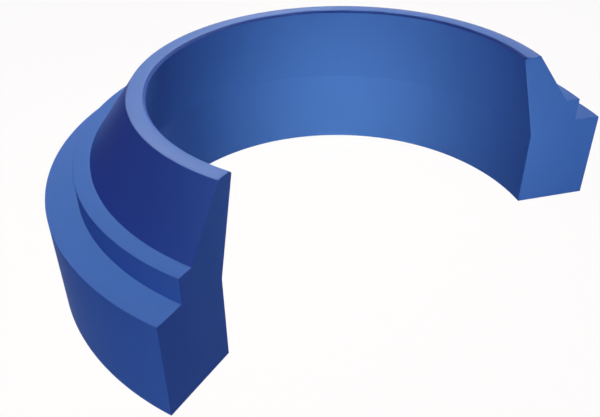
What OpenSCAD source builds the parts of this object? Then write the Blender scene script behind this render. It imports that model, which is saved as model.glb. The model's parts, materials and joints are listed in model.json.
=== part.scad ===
// Rod wiper seal with a sector cut out to show its section.
// One solid of revolution: a stepped body that sits in a housing groove, and a
// lip that leans inwards and scrapes dirt off the rod.
// The seal's axis is Z, its flat bottom face lies on Z = 0, and the cut sector is
// centred on -Y.

/* [Rod and housing] */
// Diameter of the rod that passes through the seal
rod_d = 25; // [12:0.5:60]
// Radial depth of the housing groove, from the rod to the outside wall
groove_depth = 5; // [4.5:0.05:8]
// Radial gap between the rod and the heel bore
heel_clearance = 0.2; // [0.05:0.05:0.6]

/* [Body] */
// Height of the outside wall, up to the lower ledge
wall_h = 5.85; // [4:0.05:8]
// Width of the lower ledge
lower_ledge_w = 1.75; // [0.5:0.05:3]
// Rise from the lower ledge to the upper ledge
step_h = 1.5; // [0.5:0.05:3]
// Width of the upper ledge, at the foot of the lip
upper_ledge_w = 0.95; // [0.3:0.05:2]
// Height of the straight heel bore, up to where the lip starts to lean
heel_h = 5.15; // [3:0.05:7]

/* [Lip] */
// Height of the lip above the upper ledge
lip_h = 3.3; // [2.5:0.05:5]
// How far the relaxed wiping edge stands inside the rod's surface
lip_grip = 1.2; // [0.3:0.05:2]
// Width of the lip's top, from its outer edge in to the wiping edge
lip_top_w = 1.05; // [0.5:0.05:1.5]
// Chamfer that trims the wiping edge
edge_break = 0.15; // [0.05:0.05:0.3]

/* [Section] */
// Angle of the sector cut out of the ring, where 0 leaves the whole ring
cut_angle = 135; // [0:1:270]

/* [Hidden] */
$fn = 180;

rod_r = rod_d / 2;
heel_r = rod_r + heel_clearance;
outside_r = rod_r + groove_depth;
step_r = outside_r - lower_ledge_w;
lip_root_r = step_r - upper_ledge_w;
wiping_r = rod_r - lip_grip;
lip_shoulder_r = wiping_r + lip_top_w;
upper_ledge_z = wall_h + step_h;
top_z = upper_ledge_z + lip_h;
front_angle = -90;

// Half section of the seal, as radius and height, anticlockwise from the heel
module section() {
    polygon([
        [heel_r, 0],
        [outside_r, 0],
        [outside_r, wall_h],
        [step_r, wall_h],
        [step_r, upper_ledge_z],
        [lip_root_r, upper_ledge_z],
        [lip_shoulder_r, top_z],
        [wiping_r + edge_break, top_z],
        [wiping_r, top_z - edge_break],
        [heel_r, heel_h]
    ]);
}

// The seal in one piece, turned so that the gap faces the front
module wiper_ring() {
    color("#4270b4")
        rotate([0, 0, front_angle + cut_angle / 2])
            rotate_extrude(angle = 360 - cut_angle)
                section();
}

wiper_ring();
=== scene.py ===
"""Dresses the sectioned rod wiper seal in blue polyurethane, on a pale studio floor."""

import json
import logging
import math
from dataclasses import dataclass, field
from enum import Enum
from typing import ClassVar

import bpy
from mathutils import Matrix, Vector


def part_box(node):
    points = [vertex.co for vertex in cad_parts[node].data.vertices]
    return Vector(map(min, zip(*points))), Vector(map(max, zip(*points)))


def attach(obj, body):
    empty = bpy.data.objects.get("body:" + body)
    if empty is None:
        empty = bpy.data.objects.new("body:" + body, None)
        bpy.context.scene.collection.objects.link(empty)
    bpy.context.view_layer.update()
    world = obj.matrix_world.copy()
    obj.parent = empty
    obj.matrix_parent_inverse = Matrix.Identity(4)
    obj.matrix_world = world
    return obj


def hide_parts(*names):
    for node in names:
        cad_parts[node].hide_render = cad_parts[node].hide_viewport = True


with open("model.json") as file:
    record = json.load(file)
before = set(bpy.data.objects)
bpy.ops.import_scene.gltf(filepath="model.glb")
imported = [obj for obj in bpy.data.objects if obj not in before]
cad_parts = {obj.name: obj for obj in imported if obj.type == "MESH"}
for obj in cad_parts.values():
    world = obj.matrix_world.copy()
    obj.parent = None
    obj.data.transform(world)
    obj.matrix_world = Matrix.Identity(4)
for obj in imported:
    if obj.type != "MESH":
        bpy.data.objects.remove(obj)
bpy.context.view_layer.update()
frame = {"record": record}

MM = 0.001
SEAL_NODE = "wiper_ring"
SEAL_BODY = "root"

# Sockets of the Mix node when it mixes colours
MIX_COLOUR_A = 6
MIX_COLOUR_B = 7
MIX_COLOUR_RESULT = 2

log = logging.getLogger("wiper_seal")


def linear(hex_colour: str) -> tuple[float, float, float, float]:
    """Turns an sRGB hex colour into linear light.

    Args:
        hex_colour: Six hex digits after a hash, such as "#4270b4".

    Returns:
        Linear red, green and blue, with an alpha of one.
    """
    channels = [int(hex_colour[i:i + 2], 16) / 255 for i in (1, 3, 5)]
    red, green, blue = (
        c / 12.92 if c <= 0.04045 else ((c + 0.055) / 1.055) ** 2.4 for c in channels
    )
    return red, green, blue, 1.0


def add_node(
    tree: bpy.types.NodeTree,
    kind: str,
    settings: dict[str, object] | None = None,
    inputs: dict[str | int, object] | None = None,
) -> bpy.types.Node:
    """Adds a node, sets it up and links it.

    Args:
        tree: The node tree that gets the node.
        kind: The node's type name in Blender.
        settings: Values of the node's own properties.
        inputs: For each input socket, a value, or an output socket to link from.

    Returns:
        The new node.
    """
    node = tree.nodes.new(kind)
    for name, value in (settings or {}).items():
        setattr(node, name, value)
    for name, value in (inputs or {}).items():
        if isinstance(value, bpy.types.NodeSocket):
            tree.links.new(value, node.inputs[name])
        else:
            node.inputs[name].default_value = value
    return node


def new_material(name: str) -> bpy.types.Material:
    """Makes a material whose node tree is still empty.

    Args:
        name: The material's name.

    Returns:
        The new material.
    """
    material = bpy.data.materials.new(name)
    material.use_nodes = True
    material.node_tree.nodes.clear()
    return material


class Region(Enum):
    """The surfaces of the seal that were made in different ways, by material slot."""

    TURNED = 0
    FACED = 1
    LIP = 2
    CUT = 3
    # The wiping edge's bevel, whose finish has painted shade in its colour
    EDGE = 4


class Aim(Enum):
    """The places of the seal that a lamp can face."""

    MIDDLE = "the middle of the ring"
    BORE = "the wall of the bore behind the gap"
    CUT = "the cut face on the right"
    LEDGE = "the ledges beside the other cut face"


class MarkDirection(Enum):
    """How the fine tool marks run over a surface."""

    ROUND_THE_AXIS = "round the axis, as a lathe leaves them"
    UP_THE_SECTION = "up the cut face, as a drawn blade leaves them"


@dataclass(frozen=True)
class PolyurethaneFinish:
    """Cast polyurethane, coloured through, whose sheen depends on the tool that cut it.

    Attributes:
        name: The material's name.
        colour: Colour of the clean surface.
        deep_colour: Colour where the pigment clouds thicken.
        roughness: Middle roughness of the surface.
        roughness_swing: How far the roughness strays from that, either way.
        specular_level: Strength of the sheen, where 0.5 is that of the bare IOR.
        cloud_size: Size of the pigment clouds, in metres.
        mark_pitch: Spacing of the tool marks, in metres.
        mark_depth: Height of the tool marks, in metres.
        marks: How the marks run.
        nap: How much a fine nap lights up where the surface is seen at a slant.
        nap_colour: Colour of that nap.
    """

    name: str
    colour: str
    deep_colour: str
    roughness: float
    roughness_swing: float
    specular_level: float
    cloud_size: float
    mark_pitch: float
    mark_depth: float
    marks: MarkDirection
    nap: float = 0.0
    nap_colour: str = "#ffffff"

    IOR: ClassVar[float] = 1.5
    NAP_ROUGHNESS: ClassVar[float] = 0.5
    CLOUD_DETAIL: ClassVar[float] = 3.0
    CLOUD_BREAKUP: ClassVar[float] = 0.55
    MARK_DETAIL: ClassVar[float] = 2.0
    MARK_BREAKUP: ClassVar[float] = 0.6
    # The noise that draws the marks mostly keeps between these values
    MARK_LOW: ClassVar[float] = 0.25
    MARK_HIGH: ClassVar[float] = 0.75

    def mark_coordinate(
        self, tree: bpy.types.NodeTree, place: bpy.types.NodeSocket
    ) -> bpy.types.NodeSocket:
        """Gives the length that grows across the tool marks.

        Args:
            tree: The material's node tree.
            place: Output socket with the point in the seal's frame.

        Returns:
            The output socket of that length, in metres.
        """
        axes = add_node(tree, "ShaderNodeSeparateXYZ", inputs={0: place})
        flat = add_node(tree, "ShaderNodeCombineXYZ", inputs={0: axes.outputs[0], 1: axes.outputs[1]})
        radius = add_node(tree, "ShaderNodeVectorMath", {"operation": "LENGTH"}, {0: flat.outputs[0]})
        if self.marks is MarkDirection.UP_THE_SECTION:
            return radius.outputs["Value"]
        # Height less radius changes along the ledges, the upright walls and the lip's two cones
        across = add_node(
            tree,
            "ShaderNodeMath",
            {"operation": "SUBTRACT"},
            {0: axes.outputs[2], 1: radius.outputs["Value"]},
        )
        return across.outputs[0]

    def material(self) -> bpy.types.Material:
        """Builds the finish as a material.

        Returns:
            The material.
        """
        material = new_material(self.name)
        tree = material.node_tree
        place = add_node(tree, "ShaderNodeTexCoord").outputs["Object"]
        clouds = add_node(
            tree,
            "ShaderNodeTexNoise",
            {"noise_dimensions": "3D"},
            {
                "Vector": place,
                "Scale": 1 / self.cloud_size,
                "Detail": self.CLOUD_DETAIL,
                "Roughness": self.CLOUD_BREAKUP,
            },
        )
        pigment = add_node(
            tree,
            "ShaderNodeMix",
            {"data_type": "RGBA"},
            {
                "Factor": clouds.outputs[0],
                MIX_COLOUR_A: linear(self.colour),
                MIX_COLOUR_B: linear(self.deep_colour),
            },
        )
        across = self.mark_coordinate(tree, place)
        marks = add_node(
            tree,
            "ShaderNodeTexNoise",
            {"noise_dimensions": "1D"},
            {
                "W": across,
                "Scale": 1 / self.mark_pitch,
                "Detail": self.MARK_DETAIL,
                "Roughness": self.MARK_BREAKUP,
            },
        )
        grain = add_node(
            tree,
            "ShaderNodeMapRange",
            inputs={
                "Value": marks.outputs[0],
                "From Min": self.MARK_LOW,
                "From Max": self.MARK_HIGH,
                "To Min": self.roughness - self.roughness_swing,
                "To Max": self.roughness + self.roughness_swing,
            },
        )
        bump = add_node(
            tree,
            "ShaderNodeBump",
            inputs={"Height": marks.outputs[0], "Distance": self.mark_depth},
        )
        shader = add_node(
            tree,
            "ShaderNodeBsdfPrincipled",
            inputs={
                "Base Color": pigment.outputs[MIX_COLOUR_RESULT],
                "Roughness": grain.outputs[0],
                "Normal": bump.outputs[0],
                "IOR": self.IOR,
                "Specular IOR Level": self.specular_level,
                "Sheen Weight": self.nap,
                "Sheen Roughness": self.NAP_ROUGHNESS,
                "Sheen Tint": linear(self.nap_colour),
            },
        )
        add_node(tree, "ShaderNodeOutputMaterial", inputs={"Surface": shader.outputs[0]})
        return material


# One blue all through the blank, a shade deeper where the pigment clouds thicken
SEAL_BLUE = "#446fae"
SEAL_DEEP_BLUE = "#406ba8"

# Turned on a lathe: an even, dull satin, with hair-fine rings round the axis that are drawn
# coarse enough to show
TURNED_POLYURETHANE = PolyurethaneFinish(
    name="polyurethane_turned_satin",
    colour=SEAL_BLUE,
    deep_colour=SEAL_DEEP_BLUE,
    roughness=0.42,
    roughness_swing=0.05,
    specular_level=0.002,
    cloud_size=6 * MM,
    mark_pitch=0.22 * MM,
    mark_depth=0.004 * MM,
    marks=MarkDirection.ROUND_THE_AXIS,
)

# Faced across on the lathe: the ledges and the foot, with a little more sheen than the walls
FACED_POLYURETHANE = PolyurethaneFinish(
    name="polyurethane_faced_ledge",
    colour=SEAL_BLUE,
    deep_colour=SEAL_DEEP_BLUE,
    roughness=0.36,
    roughness_swing=0.05,
    specular_level=0.02,
    cloud_size=6 * MM,
    mark_pitch=0.22 * MM,
    mark_depth=0.004 * MM,
    marks=MarkDirection.ROUND_THE_AXIS,
)

# Opened with a blade: even and nearly matt, with faint drag lines from heel to lip
CUT_POLYURETHANE = PolyurethaneFinish(
    name="polyurethane_knife_cut",
    colour=SEAL_BLUE,
    deep_colour=SEAL_DEEP_BLUE,
    roughness=0.48,
    roughness_swing=0.04,
    specular_level=0.006,
    cloud_size=4 * MM,
    mark_pitch=0.3 * MM,
    mark_depth=0.003 * MM,
    marks=MarkDirection.UP_THE_SECTION,
)

# The lip's top is trimmed last with a keen tool, so it is smoother and takes a soft white sheen
TRIMMED_POLYURETHANE = PolyurethaneFinish(
    name="polyurethane_trimmed_lip",
    colour=SEAL_BLUE,
    deep_colour=SEAL_DEEP_BLUE,
    roughness=0.22,
    roughness_swing=0.03,
    specular_level=0.08,
    cloud_size=3 * MM,
    mark_pitch=0.15 * MM,
    mark_depth=0.002 * MM,
    marks=MarkDirection.ROUND_THE_AXIS,
)

# The wiping edge is pared to a keen bevel. Its colour is painted shade, a deeper blue than the
# rest of the seal, so the bevel shows as a dark line seen square on; it turns pale where the fine
# nap that the tool leaves is seen aslant
PARED_EDGE_PAINTED_SHADE = PolyurethaneFinish(
    name="polyurethane_pared_edge_painted_shade",
    # Painted shade: a deeper blue than SEAL_BLUE, for the dark line along the wiping edge
    colour="#2a4684",
    deep_colour="#28427e",
    roughness=0.45,
    roughness_swing=0.03,
    specular_level=0.006,
    cloud_size=3 * MM,
    mark_pitch=0.15 * MM,
    mark_depth=0.002 * MM,
    marks=MarkDirection.ROUND_THE_AXIS,
    nap=1.0,
    nap_colour="#8ab4ff",
)

FINISHES: dict[Region, PolyurethaneFinish] = {
    Region.TURNED: TURNED_POLYURETHANE,
    Region.FACED: FACED_POLYURETHANE,
    Region.LIP: TRIMMED_POLYURETHANE,
    Region.CUT: CUT_POLYURETHANE,
    Region.EDGE: PARED_EDGE_PAINTED_SHADE,
}


@dataclass
class WiperRing:
    """The seal in one piece: a stepped section carried round the axis, open at the front.

    Lengths are in metres, and angles in radians.

    Attributes:
        outside_r: Radius of the outside wall.
        top_z: Height of the lip's top.
        heel_r: Radius of the heel bore.
        heel_h: Height of the heel bore.
        wall_h: Height of the lower ledge.
        step_r: Radius of the step between the ledges.
        upper_ledge_z: Height of the upper ledge.
        lip_root_r: Radius where the lip leaves the upper ledge.
        lip_shoulder_r: Outer radius of the lip's top.
        wiping_r: Radius of the wiping edge.
        edge_break: Chamfer of the wiping edge.
        cut_angle: Angle of the sector that is cut out.
        rounding: How far each sharp edge is rounded off.
        rounding_steps: Faces across a rounded edge.
        turn_steps: Faces round the ring.
        piece: The mesh object, once it is built.
    """

    outside_r: float
    top_z: float
    heel_r: float
    heel_h: float
    wall_h: float = 5.85 * MM
    step_r: float = 15.75 * MM
    upper_ledge_z: float = 7.35 * MM
    lip_root_r: float = 14.8 * MM
    lip_shoulder_r: float = 12.35 * MM
    wiping_r: float = 11.3 * MM
    edge_break: float = 0.15 * MM
    cut_angle: float = math.radians(135)
    rounding: float = 0.03 * MM
    rounding_steps: int = 3
    turn_steps: int = 225
    piece: bpy.types.Object | None = field(default=None, repr=False)

    # Direction of the middle of the gap
    FRONT_ANGLE: ClassVar[float] = math.radians(-90)
    # Edges that turn by more than this are rounded, the knee of the bore among them
    CORNER_ANGLE: ClassVar[float] = math.radians(10)
    # Edges that turn by more than this stay creased, and part one region from the next
    SHARP_ANGLE: ClassVar[float] = math.radians(25)
    # Turns from the first cut face to the bore wall and to the ledges that lamps are aimed at
    BORE_VIEW_TURN: ClassVar[float] = math.radians(67)
    LEDGE_VIEW_TURN: ClassVar[float] = math.radians(187)
    # Points that lie closer than this are one point
    MERGE_DISTANCE: ClassVar[float] = 0.001 * MM

    @classmethod
    def from_frame(cls) -> "WiperRing":
        """Takes the seal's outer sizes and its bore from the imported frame.

        Returns:
            The ring, ready to build.
        """
        _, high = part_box(SEAL_NODE)
        bore = next(m for m in frame["record"]["mounts"] if m["name"] == "rod_bore")
        return cls(
            outside_r=high.x,
            top_z=high.z,
            heel_r=bore["dims"]["r_mm"] * MM,
            heel_h=bore["dims"]["length_mm"] * MM,
        )

    @property
    def start_angle(self) -> float:
        """Direction of the cut face that the section is drawn on."""
        return self.FRONT_ANGLE + self.cut_angle / 2

    def section(self) -> list[Vector]:
        """Gives the corners of the section, on the first cut face.

        Returns:
            The corners, from the foot of the heel outwards and over the lip.
        """
        outline = [
            (self.heel_r, 0.0),
            (self.outside_r, 0.0),
            (self.outside_r, self.wall_h),
            (self.step_r, self.wall_h),
            (self.step_r, self.upper_ledge_z),
            (self.lip_root_r, self.upper_ledge_z),
            (self.lip_shoulder_r, self.top_z),
            (self.wiping_r + self.edge_break, self.top_z),
            (self.wiping_r, self.top_z - self.edge_break),
            (self.heel_r, self.heel_h),
        ]
        outward = Vector((math.cos(self.start_angle), math.sin(self.start_angle), 0.0))
        return [outward * radius + Vector((0.0, 0.0, height)) for radius, height in outline]

    def build(self) -> bpy.types.Object:
        """Models the ring: draws the section, spins it and rounds its edges.

        Returns:
            The finished mesh object.
        """
        corners = self.section()
        bpy.ops.object.select_all(action="DESELECT")
        bpy.ops.mesh.primitive_plane_add(size=self.edge_break, location=corners[0])
        self.piece = bpy.context.object
        self.piece.name = self.piece.data.name = "wiper_seal"
        bpy.ops.object.transform_apply(location=True, rotation=True, scale=True)
        bpy.ops.object.mode_set(mode="EDIT")
        bpy.ops.mesh.select_mode(type="VERT")
        bpy.ops.mesh.select_all(action="SELECT")
        bpy.ops.mesh.merge(type="CENTER")
        for here, there in zip(corners, corners[1:]):
            bpy.ops.mesh.extrude_region_move(TRANSFORM_OT_translate={"value": there - here})
        bpy.ops.mesh.select_all(action="SELECT")
        bpy.ops.mesh.edge_face_add()
        self.spin()
        self.round_edges()
        bpy.ops.object.mode_set(mode="OBJECT")
        self.smooth()
        return self.piece

    def spin(self) -> None:
        """Carries the section round the axis, to the second cut face, and closes the solid."""
        bpy.ops.mesh.spin(
            steps=self.turn_steps,
            angle=self.cut_angle - math.tau,
            center=(0.0, 0.0, 0.0),
            axis=(0.0, 0.0, 1.0),
        )
        bpy.ops.mesh.select_all(action="SELECT")
        bpy.ops.mesh.remove_doubles(threshold=self.MERGE_DISTANCE)
        bpy.ops.mesh.normals_make_consistent(inside=False)

    def round_edges(self) -> None:
        """Takes the sharpness off every corner of the section and of the cut faces."""
        bpy.ops.mesh.select_all(action="DESELECT")
        bpy.ops.mesh.select_mode(type="EDGE")
        bpy.ops.mesh.edges_select_sharp(sharpness=self.CORNER_ANGLE)
        bpy.ops.mesh.bevel(
            offset=self.rounding,
            segments=self.rounding_steps,
            affect="EDGES",
            clamp_overlap=True,
        )
        bpy.ops.mesh.select_all(action="SELECT")
        bpy.ops.mesh.normals_make_consistent(inside=False)

    def smooth(self) -> None:
        """Shades the round faces smooth and keeps the flat ones flat."""
        bpy.ops.object.shade_smooth_by_angle(angle=self.SHARP_ANGLE)
        bpy.ops.object.modifier_add(type="WEIGHTED_NORMAL")
        modifier = self.piece.modifiers[-1]
        modifier.keep_sharp = True
        bpy.ops.object.modifier_apply(modifier=modifier.name)

    def region_of(self, face: bpy.types.MeshPolygon) -> Region:
        """Says how a face of the seal was made.

        Args:
            face: A face of the finished mesh.

        Returns:
            The region that the face belongs to.
        """
        centre, normal = face.center, face.normal
        around = Vector((-centre.y, centre.x, 0.0)).normalized()
        if abs(normal.dot(around)) > math.cos(self.SHARP_ANGLE):
            return Region.CUT
        if centre.z > self.top_z - self.edge_break:
            on_top = normal.z > math.cos(self.SHARP_ANGLE)
            on_shoulder = centre.xy.length > self.lip_shoulder_r - self.edge_break
            return Region.LIP if on_top or on_shoulder else Region.EDGE
        return Region.FACED if abs(normal.z) > math.cos(self.SHARP_ANGLE) else Region.TURNED

    def aim_point(self, aim: Aim) -> Vector:
        """Gives the point that a lamp with that aim faces.

        Args:
            aim: The place of the seal to face.

        Returns:
            The point, in the seal's frame.
        """
        turn, radius, height = 0.0, 0.0, self.top_z / 2
        if aim is Aim.BORE:
            turn, radius, height = self.start_angle + self.BORE_VIEW_TURN, self.heel_r, self.heel_h / 2
        elif aim is Aim.LEDGE:
            turn, radius, height = self.start_angle + self.LEDGE_VIEW_TURN, self.step_r, self.wall_h
        elif aim is Aim.CUT:
            turn, radius = self.start_angle, (self.heel_r + self.outside_r) / 2
        return Vector((math.cos(turn) * radius, math.sin(turn) * radius, height))

    def dress(self) -> None:
        """Gives each region its finish, and hands the piece to the frame."""
        for region in Region:
            self.piece.data.materials.append(FINISHES[region].material())
        for face in self.piece.data.polygons:
            face.material_index = self.region_of(face).value
        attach(self.piece, SEAL_BODY)
        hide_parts(SEAL_NODE)


@dataclass(frozen=True)
class SoftBox:
    """A square soft light that faces the seal.

    Attributes:
        name: The lamp's name.
        azimuth: Direction of the lamp from the point that it faces, in degrees from +X.
        elevation: Its height above the horizon, in degrees, or below it where negative.
        distance: Its distance from the point that it faces, in metres.
        size: Length of its sides, in metres.
        power: Its power, in watts.
        spread: How wide its light fans out, in degrees, where a grid narrows it.
        aim: The place of the seal that it faces.
        casts_shadow: Whether it casts a shadow, or lights every face that is turned to it.
        colour: Its colour.
        glints: Whether it shows as a highlight on the satin, or only lights it.
    """

    name: str
    azimuth: float
    elevation: float
    distance: float
    size: float
    power: float
    spread: float = 180.0
    aim: Aim = Aim.MIDDLE
    casts_shadow: bool = True
    colour: str = "#ffffff"
    glints: bool = True

    def build(self, target: Vector) -> bpy.types.Object:
        """Hangs the lamp and turns it to the target.

        Args:
            target: The point that the lamp faces.

        Returns:
            The lamp's object.
        """
        turn, lift = math.radians(self.azimuth), math.radians(self.elevation)
        way = Vector(
            (math.cos(lift) * math.cos(turn), math.cos(lift) * math.sin(turn), math.sin(lift))
        )
        bpy.ops.object.light_add(type="AREA", location=target + way * self.distance)
        lamp = bpy.context.object
        lamp.name = lamp.data.name = self.name
        lamp.rotation_euler = way.to_track_quat("Z", "Y").to_euler()
        lamp.data.shape = "SQUARE"
        lamp.data.size = self.size
        lamp.data.energy = self.power
        lamp.data.spread = math.radians(self.spread)
        lamp.data.use_shadow = self.casts_shadow
        lamp.visible_glossy = self.glints
        lamp.data.color = linear(self.colour)[:3]
        return lamp


@dataclass
class Studio:
    """The pale floor, the fill light and the soft boxes.

    Attributes:
        floor_size: Length of the floor's sides, in metres.
        floor_colour: Colour of the paper on the floor, as the eye sees it.
        bounce_colour: Colour that it throws back at the seal, low so that the seal's sides stay deep.
        backdrop_colour: Colour of the white that the paper and the backdrop show.
        shown_white: How much of the floor that is seen is plain white, over its shadow.
        fill_colour: Colour of the fill light from all round.
        fill_strength: Strength of the fill light.
        lamps: The soft boxes.
    """

    floor_size: float = 4.0
    floor_colour: str = "#f2f1f0"
    bounce_colour: str = "#808080"
    backdrop_colour: str = "#fffefd"
    shown_white: float = 0.95
    fill_colour: str = "#c880ff"
    fill_strength: float = 0.33
    lamps: tuple[SoftBox, ...] = (
        # A grid keeps its light on the ledges beside the near cut face
        SoftBox(
            name="back_right_box",
            azimuth=21.5,
            elevation=46.0,
            distance=400 * MM,
            size=24 * MM,
            power=0.014,
            spread=15.0,
            aim=Aim.LEDGE,
            casts_shadow=False,
            colour="#fff5e4",
        ),
        # Lays the soft white sheen on the lip's top at the left
        SoftBox(
            name="back_left_box",
            azimuth=66.5,
            elevation=37.0,
            distance=1.0,
            size=300 * MM,
            power=1.45,
            casts_shadow=False,
        ),
        # Lays the sheen on the lip's top at the back, which is seen at more of a slant
        SoftBox(
            name="back_low_box",
            azimuth=55.5,
            elevation=21.0,
            distance=1.0,
            size=150 * MM,
            power=0.1,
            casts_shadow=False,
        ),
        # Shines up as through a light table, so the upright walls get more of it than the lip's cone
        SoftBox(
            name="front_box",
            azimuth=-134.5,
            elevation=-20.0,
            distance=400 * MM,
            size=24 * MM,
            power=0.625,
            casts_shadow=False,
            colour="#cfe7ff",
            glints=False,
        ),
        # Brightens the middle of the bore behind the gap
        SoftBox(
            name="bore_box",
            azimuth=-120.5,
            elevation=20.0,
            distance=120 * MM,
            size=16 * MM,
            power=0.00065,
            spread=10.0,
            aim=Aim.BORE,
            casts_shadow=False,
            colour="#fff2da",
            glints=False,
        ),
        # Brightens the cut face on the right
        SoftBox(
            name="cut_box",
            azimuth=-81.5,
            elevation=4.0,
            distance=120 * MM,
            size=10 * MM,
            power=0.0003,
            spread=12.4,
            aim=Aim.CUT,
            casts_shadow=False,
            colour="#f4fff4",
            glints=False,
        ),
        # Leaves the faint shadow on the floor
        SoftBox(
            name="top_box",
            azimuth=-130.0,
            elevation=88.0,
            distance=300 * MM,
            size=150 * MM,
            power=0.03,
        ),
    )

    # Strength at which a glow looks plain white
    WHITE_GLOW: ClassVar[float] = 1.0

    def seen_directly(self, tree: bpy.types.NodeTree) -> bpy.types.NodeSocket:
        """Tells rays from the eye, off gloss and through glass from those that carry light.

        Args:
            tree: The node tree that needs the answer.

        Returns:
            An output socket that is one for the rays that see.
        """
        path = add_node(tree, "ShaderNodeLightPath")
        eye_or_gloss = add_node(
            tree,
            "ShaderNodeMath",
            {"operation": "MAXIMUM"},
            {0: path.outputs["Is Camera Ray"], 1: path.outputs["Is Glossy Ray"]},
        )
        seen = add_node(
            tree,
            "ShaderNodeMath",
            {"operation": "MAXIMUM"},
            {0: eye_or_gloss.outputs[0], 1: path.outputs["Is Transmission Ray"]},
        )
        return seen.outputs[0]

    def build_floor(self) -> bpy.types.Object:
        """Lays the floor, which looks white and keeps a light shadow.

        Returns:
            The floor's object.
        """
        bpy.ops.object.select_all(action="DESELECT")
        bpy.ops.mesh.primitive_plane_add(size=self.floor_size)
        floor = bpy.context.object
        floor.name = floor.data.name = "studio_floor"
        material = new_material("paper_floor")
        tree = material.node_tree
        paper = add_node(tree, "ShaderNodeBsdfDiffuse", inputs={"Color": linear(self.floor_colour)})
        glow = add_node(
            tree,
            "ShaderNodeEmission",
            inputs={"Color": linear(self.backdrop_colour), "Strength": self.WHITE_GLOW},
        )
        shown = add_node(
            tree,
            "ShaderNodeMixShader",
            inputs={0: self.shown_white, 1: paper.outputs[0], 2: glow.outputs[0]},
        )
        bounce = add_node(tree, "ShaderNodeBsdfDiffuse", inputs={"Color": linear(self.bounce_colour)})
        surface = add_node(
            tree,
            "ShaderNodeMixShader",
            inputs={0: self.seen_directly(tree), 1: bounce.outputs[0], 2: shown.outputs[0]},
        )
        add_node(tree, "ShaderNodeOutputMaterial", inputs={"Surface": surface.outputs[0]})
        floor.data.materials.append(material)
        return floor

    def build_fill(self) -> None:
        """Sets the even light from all round, behind which the backdrop looks white."""
        world = bpy.data.worlds.new("studio")
        world.use_nodes = True
        tree = world.node_tree
        tree.nodes.clear()
        fill = add_node(
            tree,
            "ShaderNodeBackground",
            inputs={"Color": linear(self.fill_colour), "Strength": self.fill_strength},
        )
        backdrop = add_node(
            tree,
            "ShaderNodeBackground",
            inputs={"Color": linear(self.backdrop_colour), "Strength": self.WHITE_GLOW},
        )
        surface = add_node(
            tree,
            "ShaderNodeMixShader",
            inputs={0: self.seen_directly(tree), 1: fill.outputs[0], 2: backdrop.outputs[0]},
        )
        add_node(tree, "ShaderNodeOutputWorld", inputs={"Surface": surface.outputs[0]})
        bpy.context.scene.world = world

    def build(self, ring: WiperRing) -> None:
        """Sets up the floor and all the light.

        Args:
            ring: The seal that the soft boxes face.
        """
        self.build_floor()
        self.build_fill()
        for lamp in self.lamps:
            lamp.build(ring.aim_point(lamp.aim))
            log.info("lamp %s", lamp.name)


@dataclass
class PhotoCamera:
    """The camera at the photograph's viewing angle.

    Attributes:
        azimuth: Direction of the camera from the seal's axis, in degrees from +X.
        stand_off: Distance of the camera from the axis, along the floor, in metres.
        height: Height of the camera above the floor, in metres.
        pan: Turn of the camera to the left of the axis, in degrees.
        tilt: How far it looks down, in degrees.
        roll: Turn about its own line of sight, in degrees.
        focal_px: Focal length, in pixels of the photograph.
        image_w: Width of the photograph, in pixels.
    """

    azimuth: float = -130.506
    stand_off: float = 37.947 * MM
    height: float = 28.003 * MM
    pan: float = 4.093
    tilt: float = 34.779
    roll: float = -0.686
    focal_px: float = 718.9
    image_w: float = 600.0

    # What lies nearer or farther than this, in metres, isn't drawn
    NEAREST: ClassVar[float] = 1 * MM
    FARTHEST: ClassVar[float] = 20.0
    # An unturned camera looks straight down, with the top of its picture towards +Y
    QUARTER_TURN: ClassVar[float] = 90.0

    def build(self) -> bpy.types.Object:
        """Places the camera and makes it the scene's own.

        Returns:
            The camera's object.
        """
        turn = math.radians(self.azimuth)
        place = Vector((math.cos(turn) * self.stand_off, math.sin(turn) * self.stand_off, self.height))
        bpy.ops.object.camera_add(location=place)
        camera = bpy.context.object
        camera.name = "photo_camera"
        heading = math.radians(self.azimuth + self.QUARTER_TURN + self.pan)
        aim = (
            Matrix.Rotation(heading, 4, "Z")
            @ Matrix.Rotation(math.radians(self.QUARTER_TURN - self.tilt), 4, "X")
            @ Matrix.Rotation(math.radians(self.roll), 4, "Z")
        )
        camera.rotation_euler = aim.to_euler()
        camera.data.lens = camera.data.sensor_width * self.focal_px / self.image_w
        camera.data.clip_start = self.NEAREST
        camera.data.clip_end = self.FARTHEST
        bpy.context.scene.camera = camera
        return camera


def main() -> None:
    """Builds the camera, the seal and the studio, and reports each piece."""
    logging.basicConfig(level=logging.INFO, format="%(name)s: %(message)s")
    bpy.context.scene.view_settings.view_transform = "Standard"
    PhotoCamera().build()
    ring = WiperRing.from_frame()
    piece = ring.build()
    ring.dress()
    log.info("piece %s with %d faces", piece.name, len(piece.data.polygons))
    Studio().build(ring)


if __name__ == "__main__":
    main()
